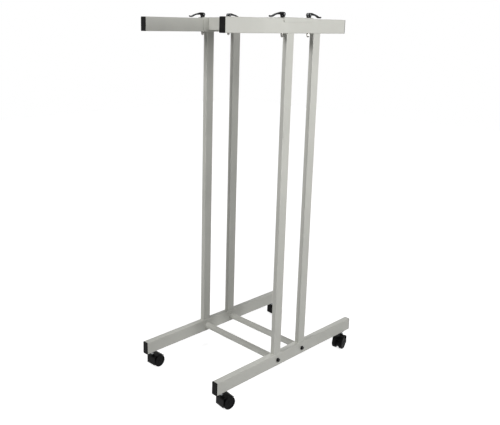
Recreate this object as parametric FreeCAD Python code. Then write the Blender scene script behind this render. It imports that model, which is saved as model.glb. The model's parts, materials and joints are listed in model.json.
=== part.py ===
import FreeCAD, Part
import math
import os

os.makedirs("parts", exist_ok=True)
Vector = FreeCAD.Vector

# Mobile plan hanging rack. Two welded frames stand side by side on four swivelling twin-wheel
# castors. Each frame is a foot, a close pair of uprights and a rail that reaches out to the
# front. Two round bars bolt the feet together, and a folded bridge on the rails is held down
# by four cam-lever skewers. Sheets hang in carriers laid across the front ends of the rails.
# X runs across the rack, Y from front to rear, Z up from the floor. The origin is on the
# floor in the middle of the rack, between the four uprights. All sizes are in millimetres.

# ---- Layout ---------------------------------------------------------------------------
frame_spacing = 400.0            # left to right, between the middle planes of the frames
upright_spacing = 145.0          # front to rear, between the middles of a frame's uprights
upright_height = 1200.0          # from the top of the foot to the underside of the rail
foot_length = 792.0              # over its end caps
rail_front_reach = 390.0         # from the middle of the rack to the rail's front end
rail_rear_reach = 233.0          # from the middle of the rack to the rail's rear end
castor_height = 69.0             # from the floor to the underside of the foot
castor_inset = 36.0              # from the end of the foot to the castor's stem

# ---- Tube stock -----------------------------------------------------------------------
box_tube_height = 50.0           # feet and rails
box_tube_width = 25.0
box_tube_wall = 2.0
box_tube_corner = 3.0
upright_depth = 38.0
upright_width = 19.0
upright_wall = 1.6
upright_corner = 2.5
bar_diameter = 25.0              # round bars between the feet
bar_wall = 2.0

# ---- Fits -----------------------------------------------------------------------------
running_fit = 0.05               # radial, between a pin or axle and its bore
turning_gap = 0.3                # between faces that turn past each other
insert_fit = 0.1                 # per side, between an insert and the tube around it
hole_clearance = 0.4             # radial, between a bolt or skewer and a plain hole

# ---- End caps -------------------------------------------------------------------------
cap_flange = 3.0
cap_edge = 0.8
cap_plug_depth = 14.0
cap_plug_wall = 1.8

# ---- Bolts that hold the round bars ---------------------------------------------------
bolt_diameter = 8.0
bolt_head_across_flats = 13.0
bolt_head_height = 5.3
bolt_grip_in_plug = 18.0
washer_diameter = 16.0
washer_thickness = 1.6
plug_length = 24.0

# ---- Bridge and saddles ---------------------------------------------------------------
sheet = 3.0
sheet_bend = 1.5                 # inside radius of a fold
saddle_fit = 0.25                # per side, between the rail and the saddle over it
saddle_length = 157.0
saddle_lip_depth = 16.5          # outer side, over the sheet
saddle_flange_depth = 46.5       # inner side, over the sheet
saddle_corner = 5.0
bridge_middle = -37.0            # along Y
bridge_depth = 107.0
carrier_clearance = 6.0          # along the rail, between the levers' tips and a carrier

# ---- Cam-lever skewers ----------------------------------------------------------------
skewer_spacing = 139.0
skewer_diameter = 6.0
skewer_eye_radius = 5.5
skewer_eye_width = 6.0
skewer_thread_end = 2.0          # what stays empty at the bottom of the dome nut's bore
cam_radius = 7.0
cam_throw = 1.0
cam_width = 15.0
cam_pin_diameter = 5.0
cup_diameter = 16.0
cup_floor = 2.5
cup_rim = 1.2
slot_clearance = 0.4             # per side, between the eye and the cam's cheeks
handle_crest = (10.0, 4.0)       # middle line of the handle, from the cam pin: out, up
handle_dip = (54.0, -10.0)
handle_tip = (67.5, -6.5)
handle_stations = 9              # places along the middle line where the thickness is set
handle_root_thickness = 6.0
handle_tip_thickness = 3.2
handle_root_half_width = 6.8
handle_waist_half_width = 4.6
handle_paddle_half_width = 6.0
nut_across_flats = 10.0
nut_height = 12.0
nut_hex_height = 5.5
nut_bore_depth = 10.0
nut_dome_diameter = 9.4
nut_washer_diameter = 12.0

# ---- Castors --------------------------------------------------------------------------
wheel_diameter = 50.0
wheel_width = 16.0
wheel_edge = 3.0
wheel_rim = 3.5
wheel_hub_diameter = 15.0
wheel_web = 3.0
wheel_dish_depth = 1.2
wheel_dish_diameter = 36.0
wheel_side_gap = 0.5
wheel_hood_gap = 0.8
axle_diameter = 8.0
axle_depth_in_wheel = 12.5
castor_trail = 22.0
castor_web = 12.0
castor_web_diameter = 38.0
hood_thickness = 2.0
hood_start = 42.0                # degrees about the axle, from the trailing side up
hood_front_reach = 30.0          # ahead of the axle
hood_corner = 9.0                # over the stem, where the level top turns down to the front
hood_front_edge = 15.0           # above the floor
hood_side_edge = 1.2
neck_diameter = 15.0
stem_diameter = 11.0
stem_bare_length = 12.0          # between the neck and the foot
stem_reach = 22.0                # into the foot
stem_root = 10.0                 # into the neck
socket_diameter = 15.0
socket_flange_diameter = 20.0
socket_flange = 2.0
socket_roof = 2.0

# Each castor trails to the rear when its turn is 0; the angles are degrees from above.
castor_turns = {"left_front": 3.0, "right_front": -7.0, "left_rear": 0.0, "right_rear": 193.5}

sides = {"left": -1, "right": 1}
ends = {"front": -1, "rear": 1}

# ---- Levels and places that follow from the sizes -------------------------------------
foot_bottom = castor_height
foot_top = foot_bottom + box_tube_height
foot_middle = foot_bottom + box_tube_height / 2
rail_bottom = foot_top + upright_height
rail_middle = rail_bottom + box_tube_height / 2
rail_top = rail_bottom + box_tube_height
saddle_top = rail_top + sheet
cam_reach = cam_radius + cam_throw + turning_gap
cam_pin_level = saddle_top + cup_floor + cam_reach
axle_level = wheel_diameter / 2
neck_top = foot_bottom - stem_bare_length
wheel_inner_face = castor_web / 2 + wheel_side_gap
wheel_outer_face = wheel_inner_face + wheel_width
hood_radius = wheel_diameter / 2 + wheel_hood_gap + hood_thickness


def save(name, shape):
    """Write one named piece to its own file."""
    shape.exportStep("parts/" + name + ".step")


def moved(shape, x, y, z):
    """A copy of the shape, shifted."""
    copy = shape.copy()
    copy.translate(Vector(x, y, z))
    return copy


def turned(shape, axis, angle):
    """A copy of the shape, turned about an axis through the origin."""
    copy = shape.copy()
    copy.rotate(Vector(0, 0, 0), axis, angle)
    return copy


def rod(diameter, length, direction, start):
    """A round rod from a start point along a direction."""
    return Part.makeCylinder(diameter / 2, length, start, direction)


def ring(outer_diameter, inner_diameter, length, direction, start):
    """A tube or washer from a start point along a direction."""
    outer = rod(outer_diameter, length, direction, start)
    return outer.cut(rod(inner_diameter, length, direction, start))


def rounded_block(width, depth, length, corner):
    """A block that stands on the XY plane, with its upright edges rounded."""
    block = Part.makeBox(width, depth, length, Vector(-width / 2, -depth / 2, 0))
    if corner <= 0:
        return block
    upright_edges = [edge for edge in block.Edges if abs(edge.tangentAt(0).z) > 0.5]
    return block.makeFillet(corner, upright_edges)


def box_tube(width, depth, length, wall, corner):
    """A rectangular tube that stands on the XY plane."""
    outer = rounded_block(width, depth, length, corner)
    inner = rounded_block(width - 2 * wall, depth - 2 * wall, length, corner - wall)
    return outer.cut(inner)


def box_tube_along_y(length):
    """The 50 by 25 tube of the feet and rails, along Y and centred on the origin."""
    tube = box_tube(box_tube_width, box_tube_height, length, box_tube_wall, box_tube_corner)
    return moved(turned(tube, Vector(1, 0, 0), -90), 0, -length / 2, 0)


def hexagon(across_flats, height):
    """A six-sided prism that stands on the XY plane."""
    radius = across_flats / math.sqrt(3)
    corners = [
        Vector(radius * math.cos(math.radians(60 * step)), radius * math.sin(math.radians(60 * step)), 0)
        for step in range(7)
    ]
    return Part.Face(Part.makePolygon(corners)).extrude(Vector(0, 0, height))


def folded_channel(width, left_depth, right_depth, length):
    """An inverted channel of folded sheet, along Y, with its top on the XY plane."""
    half = width / 2
    outer = sheet_bend + sheet
    bend = outer - outer / math.sqrt(2)
    inner_bend = sheet_bend - sheet_bend / math.sqrt(2)
    wall = half - sheet

    def at(x, z):
        return Vector(x, -length / 2, z)

    def line(start, end):
        return Part.LineSegment(start, end).toShape()

    def arc(start, middle, end):
        return Part.Arc(start, middle, end).toShape()

    edges = [
        line(at(-half, -left_depth), at(-half, -outer)),
        arc(at(-half, -outer), at(bend - half, -bend), at(outer - half, 0)),
        line(at(outer - half, 0), at(half - outer, 0)),
        arc(at(half - outer, 0), at(half - bend, -bend), at(half, -outer)),
        line(at(half, -outer), at(half, -right_depth)),
        line(at(half, -right_depth), at(wall, -right_depth)),
        line(at(wall, -right_depth), at(wall, -outer)),
        arc(at(wall, -outer), at(wall - inner_bend, -sheet - inner_bend), at(half - outer, -sheet)),
        line(at(half - outer, -sheet), at(outer - half, -sheet)),
        arc(at(outer - half, -sheet), at(inner_bend - wall, -sheet - inner_bend), at(-wall, -outer)),
        line(at(-wall, -outer), at(-wall, -left_depth)),
        line(at(-wall, -left_depth), at(-half, -left_depth)),
    ]
    return Part.Face(Part.Wire(edges)).extrude(Vector(0, length, 0))


def smooth_edge(points):
    """A spline edge through the points."""
    curve = Part.BSplineCurve()
    curve.interpolate(points)
    return curve.toShape()


# ---- Frames ---------------------------------------------------------------------------
def foot(side):
    """A foot tube with bolt holes through its sides and socket holes in its underside."""
    tube = box_tube_along_y(foot_length - 2 * cap_flange)
    for end in ends.values():
        bolt_hole = rod(
            bolt_diameter + 2 * hole_clearance,
            box_tube_width,
            Vector(1, 0, 0),
            Vector(-box_tube_width / 2, end * upright_spacing / 2, 0),
        )
        socket_hole = rod(
            socket_diameter + 2 * insert_fit,
            box_tube_height / 2,
            Vector(0, 0, -1),
            Vector(0, end * (foot_length / 2 - castor_inset), 0),
        )
        tube = tube.cut(bolt_hole).cut(socket_hole)
    return moved(tube, side * frame_spacing / 2, 0, foot_middle)


def upright(side, end):
    """A rectangular upright between the foot and the rail."""
    tube = box_tube(upright_width, upright_depth, upright_height, upright_wall, upright_corner)
    return moved(tube, side * frame_spacing / 2, end * upright_spacing / 2, foot_top)


def skewer_place(end):
    """Where a skewer stands along Y."""
    return bridge_middle + end * skewer_spacing / 2


def rail_stretch(start, stop):
    """The rail's tube between two places along Y."""
    return moved(box_tube_along_y(stop - start), 0, (start + stop) / 2, 0)


def rail(side):
    """A rail tube with holes for its two skewers.

    The open stretch in front of the levers, where the carriers lie, is a length of its own, so
    its flat top is a face by itself.
    """
    lever_tip = skewer_place(ends["front"]) - handle_tip[0]
    carrier_stop = lever_tip - carrier_clearance
    open_stretch = rail_stretch(cap_flange - rail_front_reach, carrier_stop)
    clamped_stretch = rail_stretch(carrier_stop, rail_rear_reach - cap_flange)
    tube = open_stretch.fuse(clamped_stretch)
    for end in ends.values():
        hole = rod(
            skewer_diameter + 2 * hole_clearance,
            box_tube_height,
            Vector(0, 0, 1),
            Vector(0, skewer_place(end), -box_tube_height / 2),
        )
        tube = tube.cut(hole)
    return moved(tube, side * frame_spacing / 2, 0, rail_middle)


def end_cap():
    """A plastic insert for the end of a box tube, its flange rising from the XY plane."""
    flange = rounded_block(box_tube_width, box_tube_height, cap_flange, box_tube_corner)
    rim = [edge for edge in flange.Edges if edge.BoundBox.ZMin > cap_flange / 2]
    flange = flange.makeFillet(cap_edge, rim)
    inside = box_tube_wall + insert_fit
    plug = box_tube(
        box_tube_width - 2 * inside,
        box_tube_height - 2 * inside,
        cap_plug_depth,
        cap_plug_wall,
        box_tube_corner - box_tube_wall,
    )
    return flange.fuse(moved(plug, 0, 0, -cap_plug_depth)).removeSplitter()


def placed_cap(side, end, reach, level):
    """An end cap turned to face the front or the rear."""
    facing = turned(end_cap(), Vector(1, 0, 0), -90 * end)
    return moved(facing, side * frame_spacing / 2, end * (reach - cap_flange), level)


# ---- Round bars between the feet ------------------------------------------------------
def base_bar(end):
    """A round bar that butts against the inner faces of both feet."""
    length = frame_spacing - box_tube_width
    start = Vector(-length / 2, end * upright_spacing / 2, foot_middle)
    return ring(bar_diameter, bar_diameter - 2 * bar_wall, length, Vector(1, 0, 0), start)


def at_bar_ends(piece):
    """Copies of a piece at the four bar ends; it is made pointing outwards along +X."""
    copies = []
    for side in sides.values():
        for end in ends.values():
            facing = turned(piece, Vector(0, 0, 1), 0 if side > 0 else 180)
            copies.append(moved(facing, side * frame_spacing / 2, end * upright_spacing / 2, foot_middle))
    return Part.makeCompound(copies)


def bar_plug():
    """The threaded plug inside the end of a bar."""
    outer = bar_diameter - 2 * bar_wall - 2 * insert_fit
    inner = bolt_diameter + 2 * running_fit
    start = Vector(-box_tube_width / 2 - plug_length, 0, 0)
    return ring(outer, inner, plug_length, Vector(1, 0, 0), start)


def bar_washer():
    """The washer under a bolt's head."""
    inner = bolt_diameter + 2 * running_fit
    start = Vector(box_tube_width / 2, 0, 0)
    return ring(washer_diameter, inner, washer_thickness, Vector(1, 0, 0), start)


def bar_bolt():
    """The bolt through the foot into the bar's plug."""
    head_seat = box_tube_width / 2 + washer_thickness
    shank_length = washer_thickness + box_tube_width + bolt_grip_in_plug
    shank = rod(bolt_diameter, shank_length, Vector(-1, 0, 0), Vector(head_seat, 0, 0))
    head = turned(hexagon(bolt_head_across_flats, bolt_head_height), Vector(0, 1, 0), 90)
    return shank.fuse(moved(head, head_seat, 0, 0))


# ---- Bridge across the rails ----------------------------------------------------------
def saddle_width():
    """Over both sides of a saddle."""
    return box_tube_width + 2 * (saddle_fit + sheet)


def saddle(side):
    """A folded plate over a rail, with a deep inner flange and a short outer lip."""
    plate = folded_channel(saddle_width(), saddle_flange_depth, saddle_lip_depth, saddle_length)
    corners = [
        edge
        for edge in plate.Edges
        if abs(abs(edge.tangentAt(0).x) - 1) < 0.01
        and edge.BoundBox.ZMax < -saddle_lip_depth + sheet_bend
        and edge.Length < sheet + sheet_bend
    ]
    plate = plate.makeFillet(saddle_corner, corners)
    for end in ends.values():
        hole = rod(
            skewer_diameter + 2 * hole_clearance,
            sheet,
            Vector(0, 0, -1),
            Vector(0, end * skewer_spacing / 2, 0),
        )
        plate = plate.cut(hole)
    if side < 0:
        plate = plate.mirror(Vector(0, 0, 0), Vector(1, 0, 0))
    return moved(plate, side * frame_spacing / 2, bridge_middle, saddle_top)


def bridge():
    """The folded channel between the two saddles."""
    length = frame_spacing - saddle_width()
    channel = folded_channel(bridge_depth, saddle_flange_depth, saddle_flange_depth, length)
    return moved(turned(channel, Vector(0, 0, 1), 90), 0, bridge_middle, saddle_top)


# ---- Cam-lever skewers: each is made at the origin of its cam pin, handle towards +Y ----
def skewer():
    """The rod, with an eye for the cam pin at its top."""
    nut_seat = cam_pin_level - rail_bottom + washer_thickness
    length = nut_seat + nut_bore_depth - skewer_thread_end
    shaft = rod(skewer_diameter, length, Vector(0, 0, -1), Vector(0, 0, 0))
    start = Vector(-skewer_eye_width / 2, 0, 0)
    eye = rod(2 * skewer_eye_radius, skewer_eye_width, Vector(1, 0, 0), start)
    pin_hole = rod(cam_pin_diameter + 2 * running_fit, skewer_eye_width, Vector(1, 0, 0), start)
    return shaft.fuse(eye).cut(pin_hole)


def cam_pin():
    """The pin through both cheeks of the cam and the skewer's eye."""
    return rod(cam_pin_diameter, cam_width, Vector(1, 0, 0), Vector(-cam_width / 2, 0, 0))


def cam_cup():
    """The cupped washer that the cam bears on."""
    floor_level = -cam_reach
    height = cup_floor + cup_rim
    start = Vector(0, 0, floor_level - cup_floor)
    hole = skewer_diameter + 2 * hole_clearance
    cup = ring(cup_diameter, hole, height, Vector(0, 0, 1), start)
    trough = rod(2 * cam_reach, cup_diameter, Vector(1, 0, 0), Vector(-cup_diameter / 2, 0, 0))
    return cup.cut(trough)


def dome_nut():
    """The dome nut at the skewer's lower end, on its washer under the rail."""
    top = rail_bottom - washer_thickness - cam_pin_level
    neck_radius = nut_dome_diameter / 2
    dome_height = nut_height - nut_hex_height
    hexagonal = moved(hexagon(nut_across_flats, nut_hex_height), 0, 0, top - nut_hex_height)
    dome_base = top - nut_hex_height
    straight = dome_height - neck_radius
    barrel = rod(nut_dome_diameter, straight, Vector(0, 0, -1), Vector(0, 0, dome_base))
    ball = Part.makeSphere(neck_radius, Vector(0, 0, dome_base - straight))
    bore = rod(skewer_diameter + 2 * running_fit, nut_bore_depth, Vector(0, 0, -1), Vector(0, 0, top))
    return hexagonal.fuse(barrel).fuse(ball).cut(bore).removeSplitter()


def nut_washer():
    """The flat washer between the dome nut and the rail."""
    top = rail_bottom - cam_pin_level
    inner = skewer_diameter + 2 * running_fit
    return ring(nut_washer_diameter, inner, washer_thickness, Vector(0, 0, -1), Vector(0, 0, top))


def handle_side_outline():
    """The handle seen from the side: a middle line with a thickness that tapers to the tip."""
    start = (0.0, cam_radius - cam_throw - handle_root_thickness / 2)
    line = Part.BSplineCurve()
    line.interpolate([Vector(0, out, up) for out, up in (start, handle_crest, handle_dip, handle_tip)])
    upper = []
    lower = []
    for index in range(handle_stations):
        share = index / (handle_stations - 1)
        place = line.FirstParameter + share * (line.LastParameter - line.FirstParameter)
        half = (handle_root_thickness + share * (handle_tip_thickness - handle_root_thickness)) / 2
        along = line.tangent(place)[0]
        across = Vector(0, -along.z, along.y) * half
        upper.append(line.value(place) + across)
        lower.append(line.value(place) - across)
    edges = [
        smooth_edge(upper),
        Part.LineSegment(upper[-1], lower[-1]).toShape(),
        smooth_edge(lower[::-1]),
        Part.LineSegment(lower[0], upper[0]).toShape(),
    ]
    return Part.Face(Part.Wire(edges))


def handle_plan_outline():
    """The handle seen from above: broad at the cam, waisted, then a rounded thumb paddle."""
    tip = handle_tip[0]
    waist = (handle_crest[0] + handle_dip[0]) / 2
    shoulder = tip - handle_paddle_half_width
    half_widths = [
        (0.0, handle_root_half_width),
        (waist, handle_waist_half_width),
        (shoulder, handle_paddle_half_width),
    ]
    right = [Vector(half, out, 0) for out, half in half_widths]
    left = [Vector(-half, out, 0) for out, half in half_widths]
    edges = [
        smooth_edge(right),
        Part.Arc(right[-1], Vector(0, tip, 0), left[-1]).toShape(),
        smooth_edge(left[::-1]),
        Part.LineSegment(left[0], right[0]).toShape(),
    ]
    return Part.Face(Part.Wire(edges))


def cam_lever():
    """The cast lever: an eccentric barrel, forked round the skewer's eye, and its handle."""
    half_cam = cam_width / 2
    side = handle_side_outline().extrude(Vector(cam_width, 0, 0))
    side = moved(side, -half_cam, 0, 0)
    plan = moved(handle_plan_outline(), 0, 0, -handle_tip[0])
    handle = side.common(plan.extrude(Vector(0, 0, 2 * handle_tip[0])))
    barrel = rod(2 * cam_radius, cam_width, Vector(1, 0, 0), Vector(-half_cam, 0, -cam_throw))
    lever = barrel.fuse(handle)
    half_slot = skewer_eye_width / 2 + slot_clearance
    eye_space = skewer_eye_radius + slot_clearance
    front_slot = Part.makeBox(
        2 * half_slot,
        cam_reach + eye_space,
        cam_reach + eye_space,
        Vector(-half_slot, -cam_reach, -cam_reach),
    )
    back_slot = Part.makeBox(
        2 * half_slot, cam_reach, 2 * cam_reach, Vector(-half_slot, -cam_reach, -cam_reach)
    )
    bore = rod(cam_pin_diameter + 2 * running_fit, cam_width, Vector(1, 0, 0), Vector(-half_cam, 0, 0))
    return lever.cut(front_slot).cut(back_slot).cut(bore)


def at_skewer(piece, side, end):
    """A piece of the clamp at its place, with its handle side towards that end."""
    facing = turned(piece, Vector(0, 0, 1), 0 if end > 0 else 180)
    return moved(facing, side * frame_spacing / 2, skewer_place(end), cam_pin_level)


def at_all_skewers(piece):
    """Copies of a piece at the four skewers."""
    copies = [at_skewer(piece, side, end) for side in sides.values() for end in ends.values()]
    return Part.makeCompound(copies)


# ---- Castors: each is made at the origin of its stem, on the floor, trailing towards +Y ----
def castor_socket():
    """The plastic socket in the foot that the castor's stem turns in."""
    bore_top = foot_bottom + stem_reach
    flange = rod(socket_flange_diameter, socket_flange, Vector(0, 0, -1), Vector(0, 0, foot_bottom))
    sleeve_height = bore_top + turning_gap + socket_roof - foot_bottom
    sleeve = rod(socket_diameter, sleeve_height, Vector(0, 0, 1), Vector(0, 0, foot_bottom))
    bore_height = bore_top + turning_gap - foot_bottom + socket_flange
    bore_start = Vector(0, 0, foot_bottom - socket_flange)
    bore = rod(stem_diameter + 2 * running_fit, bore_height, Vector(0, 0, 1), bore_start)
    return flange.fuse(sleeve).cut(bore).removeSplitter()


def about_axle(radius, width):
    """A cylinder about the castor's axle."""
    start = Vector(-width / 2, castor_trail, axle_level)
    return rod(2 * radius, width, Vector(1, 0, 0), start)


def hood_block(inset, width):
    """A solid with the hood's side outline, drawn in by a distance.

    The outline starts at the hood's rear edge, follows the wheels to the top, runs on level to
    a rounded corner over the stem, drops to the front edge and comes back by way of the axle.
    """
    radius = hood_radius - inset
    reach = hood_front_reach - inset
    corner = hood_corner - inset
    drop = (axle_level - hood_front_edge) * reach / hood_front_reach

    def at(ahead, above):
        return Vector(-width / 2, castor_trail - ahead, axle_level + above)

    def round_at(angle):
        return at(-radius * math.cos(math.radians(angle)), radius * math.sin(math.radians(angle)))

    def line(start, stop):
        return Part.LineSegment(start, stop).toShape()

    quarter = corner - corner / math.sqrt(2)
    rear_edge = round_at(hood_start)
    crown = at(0, radius)
    corner_start = at(reach - corner, radius)
    corner_middle = at(reach - quarter, radius - quarter)
    corner_stop = at(reach, radius - corner)
    front_edge = at(reach, -drop)
    axle = at(0, 0)
    edges = [
        Part.Arc(rear_edge, round_at((hood_start + 90) / 2), crown).toShape(),
        line(crown, corner_start),
        Part.Arc(corner_start, corner_middle, corner_stop).toShape(),
        line(corner_stop, front_edge),
        line(front_edge, axle),
        line(axle, rear_edge),
    ]
    return Part.Face(Part.Wire(edges)).extrude(Vector(width, 0, 0))


def castor_hood():
    """The thin shell over both wheels, its outer side edges rounded."""
    width = 2 * wheel_outer_face

    def on_outline(edge):
        """Whether an edge lies in a side face and doesn't run to the axle."""
        points = [vertex.Point for vertex in edge.Vertexes]
        axle = Vector(points[0].x, castor_trail, axle_level)
        in_side_face = edge.BoundBox.XLength < hood_side_edge
        return in_side_face and all(point.distanceToPoint(axle) > hood_side_edge for point in points)

    block = hood_block(0, width)
    rounded = block.makeFillet(hood_side_edge, [edge for edge in block.Edges if on_outline(edge)])
    return rounded.cut(hood_block(hood_thickness, width))


def castor_housing():
    """The middle web between the wheels, the hood over them and the neck for the stem."""
    web = about_axle(castor_web_diameter / 2, castor_web)
    spine = hood_block(0, castor_web)
    neck_bottom = axle_level + hood_radius - hood_corner
    neck = rod(neck_diameter, neck_top - neck_bottom, Vector(0, 0, 1), Vector(0, 0, neck_bottom))
    neck = neck.cut(about_axle(wheel_diameter / 2 + wheel_hood_gap, 2 * wheel_outer_face))
    stem_start = Vector(0, 0, neck_top - stem_root)
    stem_hole = rod(stem_diameter + 2 * running_fit, stem_root + stem_bare_length, Vector(0, 0, 1), stem_start)
    axle_hole = about_axle(axle_diameter / 2 + running_fit, castor_web)
    housing = web.fuse(spine).fuse(castor_hood()).fuse(neck)
    return housing.cut(stem_hole).cut(axle_hole).removeSplitter()


def castor_stem():
    """The steel stem, held in the neck and turning in the socket."""
    start = Vector(0, 0, neck_top - stem_root)
    length = stem_root + stem_bare_length + stem_reach
    return rod(stem_diameter, length, Vector(0, 0, 1), start)


def castor_axle():
    """The steel axle that both wheels run on."""
    reach = wheel_inner_face + axle_depth_in_wheel
    return about_axle(axle_diameter / 2, 2 * reach)


def castor_wheel(hand):
    """One wheel, dished outside and hollow towards the housing, closed at its hub."""
    tread = about_axle(wheel_diameter / 2, wheel_width)
    rims = [edge for edge in tread.Edges if len(edge.Vertexes) == 1]
    wheel = tread.makeFillet(wheel_edge, rims)
    wheel = moved(wheel, wheel_inner_face + wheel_width / 2, 0, 0)
    inner_start = Vector(wheel_inner_face, castor_trail, axle_level)
    outer_start = Vector(wheel_outer_face, castor_trail, axle_level)
    hollow = ring(
        wheel_diameter - 2 * wheel_rim,
        wheel_hub_diameter,
        wheel_width - wheel_web - wheel_dish_depth,
        Vector(1, 0, 0),
        inner_start,
    )
    dish = ring(wheel_dish_diameter, wheel_hub_diameter, wheel_dish_depth, Vector(-1, 0, 0), outer_start)
    bore_depth = axle_depth_in_wheel + turning_gap
    bore = rod(axle_diameter + 2 * running_fit, bore_depth, Vector(1, 0, 0), inner_start)
    wheel = wheel.cut(hollow).cut(dish).cut(bore)
    if hand < 0:
        wheel = wheel.mirror(Vector(0, 0, 0), Vector(1, 0, 0))
    return wheel


def at_castor(piece, side, end):
    """A piece of a castor at its place under a foot, turned as that castor stands."""
    return moved(piece, side * frame_spacing / 2, end * (foot_length / 2 - castor_inset), 0)


# ---- Build every piece ----------------------------------------------------------------
for end_name, end in ends.items():
    save("base_bar_" + end_name, base_bar(end))

for side_name, side in sides.items():
    save("foot_" + side_name, foot(side))
    save("rail_" + side_name, rail(side))
    save("saddle_" + side_name, saddle(side))
    rail_reach = {"front": rail_front_reach, "rear": rail_rear_reach}
    for end_name, end in ends.items():
        place = side_name + "_" + end_name
        save("upright_" + place, upright(side, end))
        save("foot_cap_" + place, placed_cap(side, end, foot_length / 2, foot_middle))
        save("rail_cap_" + place, placed_cap(side, end, rail_reach[end_name], rail_middle))
        save("skewer_" + place, at_skewer(skewer(), side, end))
        save("cam_lever_" + place, at_skewer(cam_lever(), side, end))
        castor_pieces = {
            "castor_housing_": castor_housing(),
            "castor_stem_": castor_stem(),
            "castor_axle_": castor_axle(),
            "castor_wheel_inner_": castor_wheel(-side),
            "castor_wheel_outer_": castor_wheel(side),
        }
        for piece_name, piece in castor_pieces.items():
            facing = turned(piece, Vector(0, 0, 1), castor_turns[place])
            save(piece_name + place, at_castor(facing, side, end))

save("bridge", bridge())
save("bar_plugs", at_bar_ends(bar_plug()))
save("bar_washers", at_bar_ends(bar_washer()))
save("bar_bolts", at_bar_ends(bar_bolt()))
save("cam_pins", at_all_skewers(cam_pin()))
save("cam_cups", at_all_skewers(cam_cup()))
save("dome_nuts", at_all_skewers(dome_nut()))
save("nut_washers", at_all_skewers(nut_washer()))
sockets = [at_castor(castor_socket(), side, end) for side in sides.values() for end in ends.values()]
save("castor_sockets", Part.makeCompound(sockets))
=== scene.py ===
# %% [markdown]
# # A mobile plan hanging rack
# The rack holds large drawings that hang from carriers laid across two rails. Its steel tubes,
# folded plates and hidden pins arrive ready made as the frame. This lesson gives them their
# real finishes, and models again the pieces whose beauty is in their curves: castors, cam
# levers, nuts, bolts and end caps. Every length below is in metres, so `MM` turns millimetres
# into metres. X runs to the right, Y to the rear and Z up.

# %% Load the frame
import json
import math

import bpy
from mathutils import Matrix, Vector

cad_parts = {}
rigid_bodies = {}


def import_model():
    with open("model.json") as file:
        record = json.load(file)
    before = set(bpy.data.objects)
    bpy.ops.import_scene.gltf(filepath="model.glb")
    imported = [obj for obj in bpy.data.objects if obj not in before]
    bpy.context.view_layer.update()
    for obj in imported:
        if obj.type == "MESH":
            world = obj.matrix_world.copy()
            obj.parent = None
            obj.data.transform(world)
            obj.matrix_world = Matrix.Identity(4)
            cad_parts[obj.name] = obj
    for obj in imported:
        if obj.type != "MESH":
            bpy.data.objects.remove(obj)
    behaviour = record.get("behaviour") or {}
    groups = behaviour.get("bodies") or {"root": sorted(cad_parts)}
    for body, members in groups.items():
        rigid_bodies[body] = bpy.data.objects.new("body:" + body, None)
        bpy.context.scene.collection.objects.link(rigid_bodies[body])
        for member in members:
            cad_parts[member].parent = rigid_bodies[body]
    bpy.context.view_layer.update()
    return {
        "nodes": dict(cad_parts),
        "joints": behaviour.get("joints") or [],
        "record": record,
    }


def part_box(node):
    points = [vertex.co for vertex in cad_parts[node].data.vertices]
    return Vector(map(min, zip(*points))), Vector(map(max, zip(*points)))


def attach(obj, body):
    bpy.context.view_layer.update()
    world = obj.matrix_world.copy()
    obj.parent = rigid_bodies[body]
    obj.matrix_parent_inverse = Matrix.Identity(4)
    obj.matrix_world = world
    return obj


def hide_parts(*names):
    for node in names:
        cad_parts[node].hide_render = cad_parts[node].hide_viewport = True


bpy.ops.object.select_all(action="SELECT")
bpy.ops.object.delete()
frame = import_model()
MM = 0.001
nodes = frame["nodes"]
joints = {joint["name"]: joint for joint in frame["joints"]}

# %% [markdown]
# ## The camera
# The camera stands about two and a half metres from the rack, level with its rails, and looks
# down a little, so the uprights lean together towards the floor. Its lens is close to a normal
# one, which shows depth as the eye does. A camera is easiest to place by saying where it stands
# and which way it looks, as heading, tilt and roll, one turn after another. The small lens
# shift moves the frame a little off centre without bending any line.

# %% Place the camera
CAMERA_PLACE = Vector((1674.345, -1813.520, 1337.400)) * MM
CAMERA_HEADING = math.radians(46.6098)
CAMERA_TILT = math.radians(-13.7637)
CAMERA_ROLL = math.radians(0.8577)
CAMERA_LENS = 46.4845
CAMERA_SHIFT = (0.0750, -0.0553)
CAMERA_CLIP = (0.05, 50.0)

bpy.ops.object.camera_add(location=CAMERA_PLACE)
camera = bpy.context.object
camera.name = "camera"
heading = Matrix.Rotation(CAMERA_HEADING, 4, "Z")
tilt = Matrix.Rotation(math.pi / 2 + CAMERA_TILT, 4, "X")
roll = Matrix.Rotation(CAMERA_ROLL, 4, "Z")
camera.rotation_euler = (heading @ tilt @ roll).to_euler()
camera.data.lens = CAMERA_LENS
camera.data.shift_x, camera.data.shift_y = CAMERA_SHIFT
camera.data.clip_start, camera.data.clip_end = CAMERA_CLIP
bpy.context.scene.camera = camera
bpy.context.scene.view_settings.view_transform = "Standard"
print("camera at", [round(value, 3) for value in camera.location])

# %% [markdown]
# ## Colours and nodes
# Painters give colours as sRGB hex values, but Blender mixes light in linear values, so one
# function turns the first into the second. A second small function adds a shader node, sets
# its values and links its inputs in one go. That keeps each material as short as a recipe.

# %% Colour and node helpers
# The sRGB curve is a straight line up to a limit and a power above it.
LINEAR_LIMIT = 0.04045
LINEAR_SLOPE = 12.92
CURVE_OFFSET = 0.055
CURVE_POWER = 2.4


def linear_value(value):
    """The light that one sRGB value from 0 to 1 stands for."""
    if value <= LINEAR_LIMIT:
        return value / LINEAR_SLOPE
    return ((value + CURVE_OFFSET) / (1 + CURVE_OFFSET)) ** CURVE_POWER


def colour(hex_value):
    """Linear RGBA from an sRGB hex string such as 'c8c8c2'."""
    parts = [int(hex_value[place:place + 2], 16) / 255 for place in (0, 2, 4)]
    return (*map(linear_value, parts), 1.0)


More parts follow.
